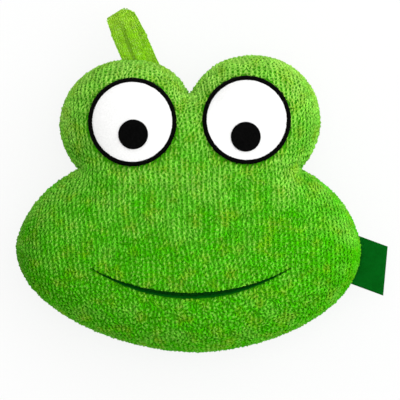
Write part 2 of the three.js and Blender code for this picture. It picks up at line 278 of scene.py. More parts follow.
# Embroidery thread: satin lines follow the stitches in the mesh, with fine twist on them.
def stitchShader(name, low, high, roughness, edge=None):
    made, tree, shader = newShader(name, {"Roughness": roughness, "Specular IOR Level": 0.02})
    place = objectPlace(tree)
    share = spread(tree, noise(tree, place, grain["strands"]), 0.3, 0.7, 0.0, 1.0)
    colour = blendColour(tree, share, linear(*low), linear(*high))
    # Painted light: where the edge attribute is set the thread is painted paler; on the smile this is its
    # lower side, with painted shade left on the upper side.
    if edge:
        colour = blendColour(tree, attribute(tree, "edge"), colour, linear(*edge))
    tree.links.new(colour, shader.inputs["Base Color"])
    bump(tree, shader, noise(tree, place, grain["twist"]), 0.4, grain["twistDeep"])
    return made


def feltShader(name, low, high):
    made, tree, shader = newShader(name, {"Roughness": 0.9, "Specular IOR Level": 0.15, "Sheen Weight": 0.1})
    fibres = noise(tree, objectPlace(tree), grain["felt"], 5.0)
    colour = blendColour(tree, spread(tree, fibres, 0.3, 0.7, 0.0, 1.0), linear(*low), linear(*high))
    tree.links.new(colour, shader.inputs["Base Color"])
    bump(tree, shader, fibres, 0.25, grain["feltDeep"])
    return made


# Woven ribbon: ribs across it and fine threads along it.
def ribbonShader(name, low, high, along, across):
    made, tree, shader = newShader(name, {"Roughness": 0.7, "Specular IOR Level": 0.03})
    place = objectPlace(tree)
    waves = []
    for way, pitch in ((along, grain["rib"]), (across, grain["warp"])):
        reach = node(tree, "ShaderNodeVectorMath", {0: place, 1: way}, operation="DOT_PRODUCT")
        turn = times(tree, reach.outputs["Value"], 2 * math.pi / pitch)
        waves.append(node(tree, "ShaderNodeMath", {0: turn}, operation="SINE").outputs[0])
    weave = times(tree, *waves)
    dust = noise(tree, place, grain["dust"], 4.0)
    share = node(tree, "ShaderNodeMath", {0: weave, 1: 0.3, 2: dust}, operation="MULTIPLY_ADD").outputs[0]
    colour = blendColour(tree, spread(tree, share, 0.1, 0.9, 0.0, 1.0), linear(*low), linear(*high))
    tree.links.new(colour, shader.inputs["Base Color"])
    bump(tree, shader, weave, 0.5, grain["weaveDeep"])
    return made


def foamShader(name, low, high):
    made, tree, shader = newShader(name, {"Roughness": 0.9, "Specular IOR Level": 0.2})
    holes = {"Vector": objectPlace(tree), "Scale": grain["cells"]}
    cells = node(tree, "ShaderNodeTexVoronoi", holes).outputs["Distance"]
    colour = blendColour(tree, spread(tree, cells, 0.1, 0.6, 0.0, 1.0), linear(*low), linear(*high))
    tree.links.new(colour, shader.inputs["Base Color"])
    bump(tree, shader, cells, 0.8, grain["cellDeep"])
    return made


# Camera and stage

view = {"middle": (4.667, 8.93), "height": 5024.0, "lens": 1112.0, "sensor": 36.0, "near": 0.05, "far": 20.0}
floorOf = {"half": 14.0, "drop": 0.0002, "paper": (0.93, 0.93, 0.93, 1.0), "roughness": 0.9, "glow": 0.86}
lamps = {
    "world": 0.72, "horizon": 0.26, "skyTop": 0.7, "leftShare": 0.62, "leftFrom": -0.9, "leftTo": -0.2,
    "aim": (0.0, 0.0, 0.03),
    "key": {"place": (0.48, 0.25, 0.8), "size": 1.0, "power": 3.9},
    "fill": {"place": (-0.2, 1.0, 0.7), "size": 0.9, "power": 1.8},
    "front": {"place": (0.0, 0.05, 1.35), "size": 0.6, "power": 2.6},
}
camera = bpy.data.objects.new("camera", bpy.data.cameras.new("camera"))
camera.data.sensor_width = view["sensor"]
camera.data.lens = view["lens"]
camera.data.clip_start = view["near"]
camera.data.clip_end = view["far"]
camera.location = (view["middle"][0] * mm, view["middle"][1] * mm, view["height"] * mm)
bpy.context.scene.collection.objects.link(camera)
bpy.context.scene.camera = camera
bpy.context.scene.view_settings.view_transform = "Standard"


# 1 for what the camera sees of the floor and sky, straight or in a reflection.
def seenShare(tree):
    path = node(tree, "ShaderNodeLightPath")
    share = path.outputs["Is Camera Ray"]
    for ray in ("Is Glossy Ray", "Is Transmission Ray"):
        share = node(tree, "ShaderNodeMath", {0: share, 1: path.outputs[ray]}, operation="MAXIMUM").outputs[0]
    return share


def makeFloor():
    half = floorOf["half"]
    mesh = bpy.data.meshes.new("floor")
    corners = [(-half, -half, 0), (half, -half, 0), (half, half, 0), (-half, half, 0)]
    mesh.from_pydata(corners, [], [(0, 1, 2, 3)])
    floor = bpy.data.objects.new("floor", mesh)
    floor.location.z = -floorOf["drop"]
    bpy.context.scene.collection.objects.link(floor)
    finish = {"Base Color": floorOf["paper"], "Roughness": floorOf["roughness"]}
    made, tree, shader = newShader("floorPaper", finish)
    glow = node(tree, "ShaderNodeEmission", {"Color": (1, 1, 1, 1), "Strength": 1.0})
    share = times(tree, seenShare(tree), floorOf["glow"])
    both = node(tree, "ShaderNodeMixShader", {0: share, 1: shader.outputs[0], 2: glow.outputs[0]})
    tree.links.new(both.outputs[0], tree.nodes["Material Output"].inputs["Surface"])
    mesh.materials.append(made)


# The sky is white to the camera, and lights the head less from low down and from the left.
def makeSky():
    world = bpy.data.worlds.new("world")
    world.use_nodes = True
    bpy.context.scene.world = world
    sky = world.node_tree
    ground = sky.nodes["Background"]
    ground.inputs["Color"].default_value = (1, 1, 1, 1)
    way = node(sky, "ShaderNodeTexCoord").outputs["Generated"]
    parts = node(sky, "ShaderNodeSeparateXYZ", {0: way}).outputs
    light = spread(sky, parts["Z"], 0.0, lamps["skyTop"], lamps["horizon"], lamps["world"])
    left = spread(sky, parts["X"], lamps["leftFrom"], lamps["leftTo"], lamps["leftShare"], 1.0)
    seen = node(sky, "ShaderNodeMix", {0: seenShare(sky), 2: times(sky, light, left), 3: 1.0})
    sky.links.new(seen.outputs[0], ground.inputs["Strength"])


def makeLamp(name, look):
    lamp = bpy.data.lights.new(name, "AREA")
    lamp.shape = "DISK"
    lamp.size = look["size"]
    lamp.energy = look["power"]
    made = bpy.data.objects.new(name, lamp)
    made.location = look["place"]
    made.rotation_mode = "QUATERNION"
    made.rotation_quaternion = (Vector(lamps["aim"]) - Vector(look["place"])).to_track_quat("-Z", "Y")
    bpy.context.scene.collection.objects.link(made)


makeFloor()
makeSky()
for name in ("key", "fill", "front"):
    makeLamp(name + "Lamp", lamps[name])
print("stage made")


# Outline of the seam and the swell of the panels

outlineSteps = {"jaw": 56, "cheek": 30, "brow": 46, "inner": 26}


def sideCurves(side):
    way = side["way"]

    def beside(point, across, up):
        return (point[0] + way * across, point[1] + up)

    chin = head["chin"]
    cheek = (way * head["cheek"], side["cheekY"])
    notch = (side["eye"][0] + way * head["notchOut"], head["notchY"])
    top = side["top"]
    crotch = head["crotch"]
    return {
        "jaw": (chin, beside(chin, head["chinHandle"], 0), beside(cheek, 0, -head["cheekDown"]), cheek),
        "cheek": (cheek, beside(cheek, 0, head["cheekUp"]), beside(notch, *head["notchLow"]), notch),
        "brow": (notch, beside(notch, *head["notchHigh"]), beside(top, side["handle"], 0), top),
        "inner": (top, beside(top, -head["topHandle"], 0), beside(crotch, *head["crotchHandle"]), crotch),
    }


def sideOutline(side):
    curves = sideCurves(side)
    parts = [bezier(*curves[name], steps)[1:] for name, steps in outlineSteps.items()]
    return np.concatenate([[head["chin"]], *parts])


outline = np.concatenate([sideOutline(rightSide), sideOutline(leftSide)[1:-1][::-1]])


def inset(distance):
    along = unit(np.roll(outline, -1, 0) - np.roll(outline, 1, 0))
    return outline + distance * np.stack([-along[:, 1], along[:, 0]], 1)


# A smooth distance from points to the seam, from how near it is all round them.
def seamDistance(points):
    points = np.asarray(points, float).reshape(-1, 2)
    after = np.roll(outline, -1, 0)
    length = np.linalg.norm(after - outline, axis=1)
    found = np.zeros(len(points))
    tiny = 1e-9
    batch = 4000
    for i in range(0, len(points), batch):
        a = outline[None] - points[i:i + batch, None]
        b = after[None] - points[i:i + batch, None]
        area = a[..., 0] * b[..., 1] - a[..., 1] * b[..., 0]
        turn = np.arctan2(area, (a * b).sum(-1))
        safe = np.where(np.abs(area) < tiny, tiny, area)
        nearness = (turn * length / safe).sum(1)
        onSeam = np.linalg.norm(a, axis=-1).min(1) < 1e-6
        found[i:i + batch] = np.where(onSeam, 0, math.pi / np.maximum(nearness, tiny))
    return found


def swell(share):
    return np.sqrt(1 - (1 - np.clip(share, 0, 1)) ** 2)


def outerHeight(points, panel):
    return head["rim"] + (panel["crown"] - head["rim"]) * swell(seamDistance(points) / panel["round"])


def innerHeight(points, panel):
    flange = head["rim"] + head["terry"]
    share = (seamDistance(points) - head["terry"]) / (panel["round"] - head["terry"])
    return flange + (panel["crown"] - head["terry"] - flange) * swell(share)


def at(points, height, panel):
    points = np.asarray(points, float).reshape(-1, 2)
    level = np.broadcast_to(height, len(points))
    return np.column_stack([points, head["seam"] + panel["way"] * level])


def domeShares(rings):
    return np.sin(np.arange(rings + 1) / rings * math.pi / 2)


# Grid of the panel's ground: rays from the middle to the seam, where the sewing draws it in.
def domeGrid(panel):
    shares = domeShares(head["domeRings"])
    size = (len(outline), len(shares))
    flat = (outline[:, None] * shares[None, :, None]).reshape(-1, 2)
    height = outerHeight(flat, panel)
    grid = at(flat, height, panel).reshape(*size, 3)
    drawn = head["crease"] * np.exp(-((height - head["rim"]) / head["creaseHalf"]) ** 2)
    outwards = np.gradient(grid, axis=1)
    around = np.roll(grid, -1, 0) - np.roll(grid, 1, 0)
    normal = unit(np.cross(outwards, around)) * panel["way"]
    normal[:, 0] = (0, 0, panel["way"])
    return grid - (pileOf["sink"] + drawn.reshape(*size, 1)) * normal


# Terry cloth

pileOf = {
    "sink": 1.0, "wale": 2.12, "course": 1.69, "slant": 0.08, "yarn": 0.46, "foot": 0.4,
    "path": ((-0.78, -0.62, 0.02), (-0.92, 0.4, 0.56), (-0.6, 1.4, 0.1),
             (0.6, 1.4, 0.1), (0.92, 0.4, 0.56), (0.78, -0.62, 0.02)),
    "stray": (0.18, 0.32), "turn": (0.22, 0.5), "looseFrom": -12.0, "looseTo": -36.0,
    "sizes": 0.1, "tint": (0.45, 0.34), "edgeGap": 0.25,
    "sway": ((0.55, 8.5, 31.0), (0.3, 3.7, 11.0), (0.5, 6.3, 23.0)),
}
backPileOf = pileOf | {"wale": 2.2, "course": 1.82}
# Painted light and shade in the terry: paler towards the top, a highlight on the ridges, darker feet and
# ground, lighter to the right and darker at the left cheek's edge.
terryLook = {
    "low": (75, 207, 0), "high": (179, 246, 98), "mottle": 0.24, "lowY": -15.0, "highY": 72.0,
    "faded": (146, 198, 28), "fade": 0.7, "pale": (190, 234, 110), "paintedHighlight": 0.5,
    "paintedShade": (52, 148, 0), "ground": (80, 184, 8), "foot": 0.38, "tints": (0.78, 1.11), "paintedSideLight": 0.13,
    "edge": 0.2, "leftShadeX": -56.0, "rim": 0.9, "rimX": 40.0,
    "sheen": 0.02, "sheenTint": (190, 240, 120),
}
yarnSides = 4
terryYarn = yarnShader("terryYarn", terryLook)
terryGround = groundShader("terryGround", terryLook)


# A stitch: a bent tube, across, down and up from its foot; also how far up each point is.
def stitchShape(look):
    path = np.array(look["path"], float)
    tangent = unit(np.gradient(path, axis=0))
    rise = path[2] * (0, 1, 1) - path[0] * (0, 1, 1)
    up = unit(np.cross((1, 0, 0), rise))
    side = unit(np.cross(up, tangent))
    over = np.cross(tangent, side)
    radius = np.full(len(path), look["yarn"])
    radius[[0, -1]] = look["foot"]
    turns = np.arange(yarnSides) * 2 * math.pi / yarnSides
    ring = np.cos(turns)[None, :, None] * side[:, None] + np.sin(turns)[None, :, None] * over[:, None]
    points = path[:, None] + radius[:, None, None] * ring
    low, high = path[:, 2].min(), path[:, 2].max()
    lift = np.repeat((path[:, 2] - low) / (high - low), yarnSides)
    faces = ringFaces(len(path), yarnSides, False).tolist()
    last = (len(path) - 1) * yarnSides
    faces += [list(range(yarnSides))[::-1], list(range(last, last + yarnSides))]
    return points.reshape(-1, 3), lift, np.array(faces)


# The pile lies less evenly towards the chin.
def loose(look, value, height):
    share = np.clip((look["looseFrom"] - height) / (look["looseFrom"] - look["looseTo"]), 0, 1)
    return look[value][0] + (look[value][1] - look[value][0]) * share


# Pile: a stitch on each place, turned and sized a little at random.
def makePile(name, places, across, down, up, look, shader, shade=0.0):
    shape, lift, faces = stitchShape(look)
    count = len(places)
    turn = (random.normal(0, 1, count) * loose(look, "turn", places[:, 1]))[:, None]
    wide = across * np.cos(turn) + down * np.sin(turn)
    long = down * np.cos(turn) - across * np.sin(turn)
    size = 1 + random.normal(0, look["sizes"], (count, 3))
    local = shape[None] * size[:, None]
    points = (places[:, None] + local[..., :1] * wide[:, None] + local[..., 1:2] * long[:, None]
              + local[..., 2:] * up[:, None]).reshape(-1, 3)
    points[:, 2] = np.maximum(points[:, 2], 0)  # flat where it rests
    allFaces = (faces[None] + (np.arange(count) * len(shape))[:, None, None]).reshape(-1, 4)
    mesh = bpy.data.meshes.new(name)
    mesh.from_pydata((points * mm).tolist(), [], allFaces.tolist())
    # Painted shade: the shade share darkens a stitch's tint.
    tint = np.clip(random.normal(*look["tint"], count), 0, 1) * (1 - shade)
    addValues(mesh, "tint", np.repeat(tint, len(shape)))
    addValues(mesh, "lift", np.tile(lift, count))
    bakeCells(mesh, count, len(look["path"]))
    print(name, count, "stitches")
    return linked(name, mesh, shader)


# Each stitch has its own cell of the bake map.
def bakeCells(mesh, count, rings):
    cells = math.ceil(math.sqrt(count))
    end = rings - 1
    cap = 0.3
    border = (0.5, 0.3)
    room = (end + cap + 2 * border[0], yarnSides + 2 * border[1])
    patch = []
    for i in range(end):
        for j in range(yarnSides):
            patch.append([(i, j), (i, j + 1), (i + 1, j + 1), (i + 1, j)])
    patch.append([(-cap, 0), (-cap, 1), (0, 1), (0, 0)])
    patch.append([(end + cap, 0), (end + cap, 1), (end, 1), (end, 0)])
    cell = (np.array(patch, float) + border) / room
    index = np.arange(count)
    corner = np.stack([index % cells, index // cells], 1)
    uv = (corner[:, None, None] + cell[None]) / cells
    layer = mesh.uv_layers.new(name="OFBake")
    layer.data.foreach_set("uv", uv.astype(np.float32).ravel())


# Lays the panel's cloth flat by the lengths of its rays, and gives where a flat point lies on the dome.
class Cloth:
    def __init__(self, grid):
        self.grid = grid
        steps = np.linalg.norm(np.diff(grid, axis=1), axis=2)
        self.reach = np.concatenate([np.zeros((len(grid), 1)), np.cumsum(steps, 1)], 1)
        self.turn = np.unwrap(np.arctan2(outline[:, 1], outline[:, 0]))

    def ray(self, flat):
        turn = np.arctan2(flat[:, 1], flat[:, 0])
        turn = (turn - self.turn[0]) % (2 * math.pi) + self.turn[0]
        turns = np.append(self.turn, self.turn[0] + 2 * math.pi)
        ray = np.interp(turn, turns, np.arange(len(turns)))
        k = np.floor(ray).astype(int)
        return k, ray - k

    def along(self, k, reach):
        k = k % len(self.grid)
        rows = self.reach[k]
        reach = np.minimum(reach, rows[:, -1])
        j = np.clip((rows <= reach[:, None]).sum(1) - 1, 0, rows.shape[1] - 2)
        at0 = np.take_along_axis(rows, j[:, None], 1)[:, 0]
        at1 = np.take_along_axis(rows, j[:, None] + 1, 1)[:, 0]
        share = ((reach - at0) / np.maximum(at1 - at0, 1e-9))[:, None]
        return self.grid[k, j] * (1 - share) + self.grid[k, j + 1] * share

    def place(self, flat):
        k, share = self.ray(flat)
        reach = np.hypot(flat[:, 0], flat[:, 1])
        return self.along(k, reach) * (1 - share[:, None]) + self.along(k + 1, reach) * share[:, None]

    def edge(self, flat):
        k, share = self.ray(flat)
        last = self.reach[:, -1]
        return last[k % len(last)] * (1 - share) + last[(k + 1) % len(last)] * share


# One wave in the lines of the knit: its size, and the lengths that it runs over.
def swayed(wave, a, b, start):
    size, first, second = wave
    return size * np.sin(a / first + b / second + start)


def clothPile(name, panel, grid, look, keep):
    cloth = Cloth(grid)
    far = cloth.reach[:, -1].max()
    wales = np.arange(-math.ceil(far / look["wale"]), math.ceil(far / look["wale"]) + 1)
    courses = np.arange(-math.ceil(far / look["course"]), math.ceil(far / look["course"]) + 1)
    shift = random.uniform(-0.5, 0.5, len(wales)) * look["course"]
    starts = random.uniform(0, 2 * math.pi, 3)
    x, y = np.meshgrid(wales * look["wale"], courses * look["course"], indexing="ij")
    y = y + shift[:, None]
    x = x - look["slant"] * y
    sway = look["sway"]
    x = x + swayed(sway[0], y, x, starts[0]) + swayed(sway[1], y, x, starts[1])
    y = y + swayed(sway[2], x, y, starts[2])
    flat = np.stack([x.ravel(), y.ravel()], 1)
    flat = flat + random.normal(0, 1, (x.size, 2)) * loose(look, "stray", flat[:, 1])[:, None]
    flat = flat[np.hypot(flat[:, 0], flat[:, 1]) < cloth.edge(flat) - look["edgeGap"]]
    places = cloth.place(flat)
    kept = keep(places)
    flat = flat[kept]
    places = places[kept]
    step = 0.5
    acrossWay = cloth.place(flat + (step, 0)) - cloth.place(flat - (step, 0))
    downWay = cloth.place(flat - (0, step)) - cloth.place(flat + (0, step))
    up = unit(np.cross(downWay, acrossWay)) * panel["way"]
    down = unit(downWay - (downWay * up).sum(1, keepdims=True) * up)
    across = np.cross(up, down) * panel["way"]
    return makePile(name, places, across, down, up, look, terryYarn)


# A panel's inside: rings of the foam's outline from its rim to near the middle, and the middle itself.
def insideRings(panel, gap=0.0):
    core = inset(head["coreInset"])
    rings = []
    for share in domeShares(head["innerRings"])[1:][::-1]:
        rings.append(at(core * share, innerHeight(core * share, panel) - gap, panel))
    return rings, at([(0, 0)], innerHeight([(0, 0)], panel) - gap, panel)[0]


# Each cover: its dome, the seam allowance turned in, and its inside.
def makeCover(name, panel, grid):
    flange = head["rim"] + head["terry"]
    rings = [grid[:, j] for j in range(1, grid.shape[1])]
    rings.append(at(inset(head["flange"]), head["rim"], panel))
    rings.append(at(inset(head["flange"]), flange, panel))
    rings.append(at(inset(head["terry"]), flange, panel))
    mid = inset((head["terry"] + head["coreInset"]) / 2)
    rings.append(at(mid, innerHeight(mid, panel), panel))
    inside, middle = insideRings(panel)
    return piece(name, *skin(rings + inside, grid[0, 0], middle), terryGround)


eyeOf = {
    "white": 16.15, "whiteLap": 0.25, "whiteEdge": 0.15, "whitePoints": 128, "rise": 1.2, "sunk": 0.8,
    "ring": 17.85, "ringLap": 0.28, "ringSpread": 0.03, "ringFree": 0.3,
    "ringStitches": 236, "ringEnds": 0.05, "ringRidge": 0.09,
    "ringProfile": ((0.0, 0.7), (0.14, 1.35), (0.36, 1.72), (0.64, 1.72), (0.86, 1.35), (1.0, 0.7)),
    "leftPupil": (-22.24, 35.35), "rightPupil": (23.1, 34.4), "pupil": 6.0, "pupilRise": 2.0,
    "pupilFoot": 0.3, "pupilRow": 0.5, "pupilRidge": 0.07, "pupilRound": 0.93, "pupilEdge": 0.35,
    "pupilPoints": 144, "pupilRings": 34,
    "feltLow": (243, 243, 242), "feltHigh": (252, 252, 251),
    "stitchLow": (1, 1, 1), "stitchHigh": (8, 8, 8), "stitchRough": 0.7,
}
mouthOf = {
    "middle": (0.9, 48.9), "radius": 78.5, "width": 80.6, "stitch": 2.35, "tip": 0.14, "taper": 1.05,
    "sunk": 0.8, "pitch": 0.5, "rise": 0.4, "ridge": 0.08, "ends": 0.045, "lowest": 0.35,
    "profile": ((-1.0, 0.3), (-0.75, 0.7), (-0.35, 1.0), (0.0, 1.0), (0.35, 1.0), (0.75, 0.7), (1.0, 0.3)),
    "under": 0.25, "underEnd": 0.97,
    "low": (0, 32, 3), "high": (0, 58, 4), "paintedLitSide": (0, 92, 10), "rough": 0.75,
}
satinSteps = 4  # points along the edge for each satin stitch


def mouthHalf(share):
    full = np.maximum(np.cos(share * math.pi / 2), 0) ** mouthOf["taper"]
    return mouthOf["tip"] / 2 + (mouthOf["stitch"] - mouthOf["tip"]) / 2 * full


mouthReach = math.asin(mouthOf["width"] / 2 / mouthOf["radius"])


# Where the face has pile: not under the eyes or the smile.
def bareFace(places):
    plan = places[:, :2]
    free = np.ones(len(plan), bool)
    for side in (leftSide, rightSide):
        free &= np.linalg.norm(plan - side["eye"], axis=1) > eyeOf["ring"] + eyeOf["ringFree"]
    away = plan - mouthOf["middle"]
    share = np.arctan2(away[:, 0], -away[:, 1]) / mouthReach
    offset = np.abs(np.linalg.norm(away, axis=1) - mouthOf["radius"])
    covered = offset < mouthHalf(np.clip(share, -1, 1)) - mouthOf["under"]
    return free & ~((np.abs(share) < mouthOf["underEnd"]) & covered)


def everywhere(places):
    return np.ones(len(places), bool)


# Pieces on the face move with it, each with a mesh of its own.
def onFaceBody(made):
    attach(made, "face")
    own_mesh(made)


frontGrid = domeGrid(front)
frontCover = makeCover("front_cloth", front, frontGrid)
onFaceBody(frontCover)
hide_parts("front_cover")
frontPile = clothPile("front_pile", front, frontGrid, pileOf, bareFace)
onFaceBody(frontPile)

backGrid = domeGrid(back)
backCover = makeCover("back_cloth", back, backGrid)
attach(backCover, "back")
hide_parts("back_cover")
backPile = clothPile("back_pile", back, backGrid, backPileOf, everywhere)
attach(backPile, "back")
print("covers made")


# Foam core

# The foam's lead is in millimetres.
foamOf = {"low": (196, 178, 120), "high": (243, 233, 200), "lead": 2.0}


def makeCore():
    over, top = insideRings(front, head["coreGap"])
    under, bottom = insideRings(back, head["coreGap"])
    shader = foamShader("foam", foamOf["low"], foamOf["high"])
    return piece("foam_body", *skin(over[::-1] + under, top, bottom), shader)


foam = makeCore()
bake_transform(foam)
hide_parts("foam_core")

# The seam's threads keep their shape from the frame.
threadOf = {"low": (58, 130, 18), "high": (96, 176, 40), "rough": 0.6}
threadShader = stitchShader("seamThread", threadOf["low"], threadOf["high"], threadOf["rough"])
for name in ("seam_needle_thread", "seam_bobbin_thread"):
    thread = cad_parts[name]
    thread.data.materials.clear()
    thread.data.materials.append(threadShader)
print("foam and threads made")


# Face

def onFace(plan, lift):
    plan = np.asarray(plan, float).reshape(-1, 2)
    return np.column_stack([plan, head["seam"] + outerHeight(plan, front) + lift])


# Points round a middle; the radius may differ from point to point.
def circle(middle, radius, count):
    turn = np.arange(count) * 2 * math.pi / count
    return np.stack([middle[0] + radius * np.cos(turn), middle[1] + radius * np.sin(turn)], 1)


whiteFelt = feltShader("whiteFelt", eyeOf["feltLow"], eyeOf["feltHigh"])
blackStitch = stitchShader("blackStitch", eyeOf["stitchLow"], eyeOf["stitchHigh"], eyeOf["stitchRough"])
greenStitch = stitchShader("greenStitch", mouthOf["low"], mouthOf["high"], mouthOf["rough"],
                           edge=mouthOf["paintedLitSide"])


def makeWhite(name, middle):
    count = eyeOf["whitePoints"]
    radius = eyeOf["white"] + eyeOf["whiteLap"]
    rise = eyeOf["rise"]
    sunk = -eyeOf["sunk"]
    outwards, inwards = np.linspace(0.08, 0.98, 16), np.linspace(0.9, 0.1, 8)
    rings = [onFace(circle(middle, radius * share, count), rise) for share in outwards]
    rings.append(onFace(circle(middle, radius, count), rise - eyeOf["whiteEdge"]))
    rings.append(onFace(circle(middle, radius, count), sunk))
    rings += [onFace(circle(middle, radius * share, count), sunk) for share in inwards]
    top = onFace([middle], rise)[0]
    bottom = onFace([middle], sunk)[0]
    return piece(name, *skin(rings, top, bottom), whiteFelt)


# Satin stitches side by side round the ring, each a small ridge with its own ends.
def makeRing(name, middle):
    stitches = eyeOf["ringStitches"]
    count = stitches * satinSteps
    wave = np.abs(np.sin(np.arange(count) * math.pi / satinSteps))
    ends = np.repeat(random.normal(0, eyeOf["ringEnds"], (stitches, 2)), satinSteps, axis=0)
    low, high = eyeOf["white"] - eyeOf["ringLap"], eyeOf["ring"] + eyeOf["ringSpread"]
    profile = [(0.0, -eyeOf["sunk"]), *eyeOf["ringProfile"], (1.0, -eyeOf["sunk"])]
    rings = []
    for share, lift in profile:
        edge = ends[:, 0] * (1 - share) + ends[:, 1] * share
        plan = circle(middle, low + (high - low) * share + edge, count)
        ridge = eyeOf["ringRidge"] * wave if lift > 0 else 0
        rings.append(onFace(plan, lift - eyeOf["ringRidge"] + ridge))
    return piece(name, *skin(rings), blackStitch)


# A round of satin fill, with its rows of stitches upright.
def makePupil(name, middle):
    count = eyeOf["pupilPoints"]
    radius = eyeOf["pupil"]
    start = eyeOf["pupilRound"]
    foot = eyeOf["rise"] - eyeOf["pupilFoot"]
    rings = []
    for share in np.linspace(0.03, 1.0, eyeOf["pupilRings"]):
        plan = circle(middle, radius * share, count)
        rows = np.abs(np.sin((plan[:, 0] - middle[0]) * math.pi / eyeOf["pupilRow"]))
        edge = eyeOf["pupilEdge"] * np.clip((share - start) / (1 - start), 0, 1) ** 2
        rings.append(onFace(plan, eyeOf["pupilRise"] - edge + eyeOf["pupilRidge"] * rows))
    rings.append(onFace(circle(middle, radius, count), foot))
    top = onFace([middle], eyeOf["pupilRise"])[0]
    bottom = onFace([middle], foot)[0]
    return piece(name, *skin(rings, top, bottom), blackStitch)


for word, side in (("left", leftSide), ("right", rightSide)):
    white = makeWhite(word + "_white_patch", side["eye"])
    onFaceBody(white)
    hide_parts(word + "_eye_white")
    ring = makeRing(word + "_satin_ring", side["eye"])
    onFaceBody(ring)
    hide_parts(word + "_eye_ring")
    pupil = makePupil(word + "_satin_pupil", eyeOf[word + "Pupil"])
    onFaceBody(pupil)
    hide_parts(word + "_pupil")


# The smile: satin stitches across a tapered arc.
def makeMouth():
    stitches = round(2 * mouthReach * mouthOf["radius"] / mouthOf["pitch"])
    steps = stitches * satinSteps
    share = np.linspace(-1, 1, steps + 1)
    turn = share * mouthReach
    wave = np.abs(np.sin(np.arange(steps + 1) * math.pi / satinSteps))
    ends = np.repeat(random.normal(0, mouthOf["ends"], (stitches + 1, 2)), satinSteps, axis=0)[:steps + 1]
    half = mouthHalf(share)
    low = np.clip(half / (mouthOf["stitch"] / 2), mouthOf["lowest"], 1)
    profile = [(side, lift * mouthOf["rise"]) for side, lift in mouthOf["profile"]]
    profile = [(-1.0, -mouthOf["sunk"]), *profile, (1.0, -mouthOf["sunk"])]
    columns = []
    for side, lift in profile:
        radius = mouthOf["radius"] + side * half + ends[:, 0 if side < 0 else 1]
        x = mouthOf["middle"][0] + radius * np.sin(turn)
        y = mouthOf["middle"][1] - radius * np.cos(turn)
        height = lift * low + mouthOf["ridge"] * wave if lift > 0 else lift
        columns.append(onFace(np.stack([x, y], 1), height))
    rings = np.stack(columns, 1)
    made = piece("smile_stitching", *skin(rings, rings[0].mean(0), rings[-1].mean(0)), greenStitch)
    # Painted light on the smile's lower side, with painted shade left on its upper side.
    edge = np.clip([side for side, _ in profile], 0, 1)  # the lower side is paler
    addValues(made.data, "edge", np.append(np.tile(edge, len(rings)), (0, 0)))
    return made


mouth = makeMouth()
onFaceBody(mouth)
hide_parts("mouth_line")
print("face made")


# Places on the seam for the loop and the tag

def seamPlace(curve, distance, way, turn):
    points = bezier(*curve, curvePoints)
    reach = np.concatenate([[0], np.cumsum(np.linalg.norm(np.diff(points, axis=0), axis=1))])
    distance = distance if distance >= 0 else reach[-1] + distance
    step = 0.2
    before, point, ahead = (np.array([np.interp(d, reach, points[:, k]) for k in (0, 1)])
                            for d in (distance - step, distance, distance + step))
    x, y = unit(ahead - before)
    tangent = (x * math.cos(turn) - y * math.sin(turn), x * math.sin(turn) + y * math.cos(turn))
    out = np.array([way * tangent[1], -way * tangent[0], 0.0])
    return {"point": np.append(point, head["seam"]), "out": out, "along": np.array([out[1], -out[0], 0.0])}


# Hanging loop: one strip of terry, from inside the seam up its back leg and down its front leg.
loopOf = {
    "fromTop": 3.3, "lean": math.radians(23.2), "length": 18.0, "width": 10.0, "strip": 1.6, "swell": 5.0,
    "stagger": 2.2, "fold": 2.2, "gap": 0.3, "inside": 6.6, "bend": 1.8,
    "ground": 0.9, "hem": 0.15, "bevel": 0.3, "corner": 4.2, "topOver": 0.5,
    "steps": 420, "tailSteps": 60, "smooth": 3,
    "skew": math.tan(math.radians(9)), "groove": 1.4, "grooveDeep": 0.8, "grooveFade": 6.0,
}
loopPileOf = {
    "wale": 1.02, "course": 1.5, "yarn": 0.2, "foot": 0.18,
    "path": ((-0.32, -0.5, 0.0), (-0.38, 0.4, 0.24), (-0.26, 1.2, 0.06),
             (0.26, 1.2, 0.06), (0.38, 0.4, 0.24), (0.32, -0.5, 0.0)),
    "turn": (0.2, 0.2), "looseFrom": 1.0, "looseTo": 0.0, "sizes": 0.1, "tint": (0.66, 0.15),
    "shift": 0.4, "stray": 0.06, "steps": 600,
}
# Painted light: the loop's terry is the head's yarn painted paler, and its shade and ground colours too.
loopLitLook = {
    "low": (158, 228, 32), "high": (178, 234, 60), "mottle": 0.5, "lowY": 60.0, "highY": 90.0,
    "faded": (168, 218, 58), "fade": 0.6, "pale": (204, 238, 140), "paintedHighlight": 0.55,
    "paintedShade": (128, 194, 18), "ground": (156, 220, 40), "foot": 0.08, "tints": (0.5, 1.2), "paintedSideLight": 0.0,
    "edge": 0.0, "leftShadeX": -56.0, "rim": 0.0, "rimX": 40.0,
    "sheen": 0.02, "sheenTint": (200, 240, 130),
}
loopYarn = yarnShader("loopYarn", loopLitLook)
loopGround = groundShader("loopGround", loopLitLook)
loopPlace = seamPlace(sideCurves(leftSide)["inner"], loopOf["fromTop"], -1, 0)
loopLean = np.array([-math.sin(loopOf["lean"]), math.cos(loopOf["lean"]), 0.0])


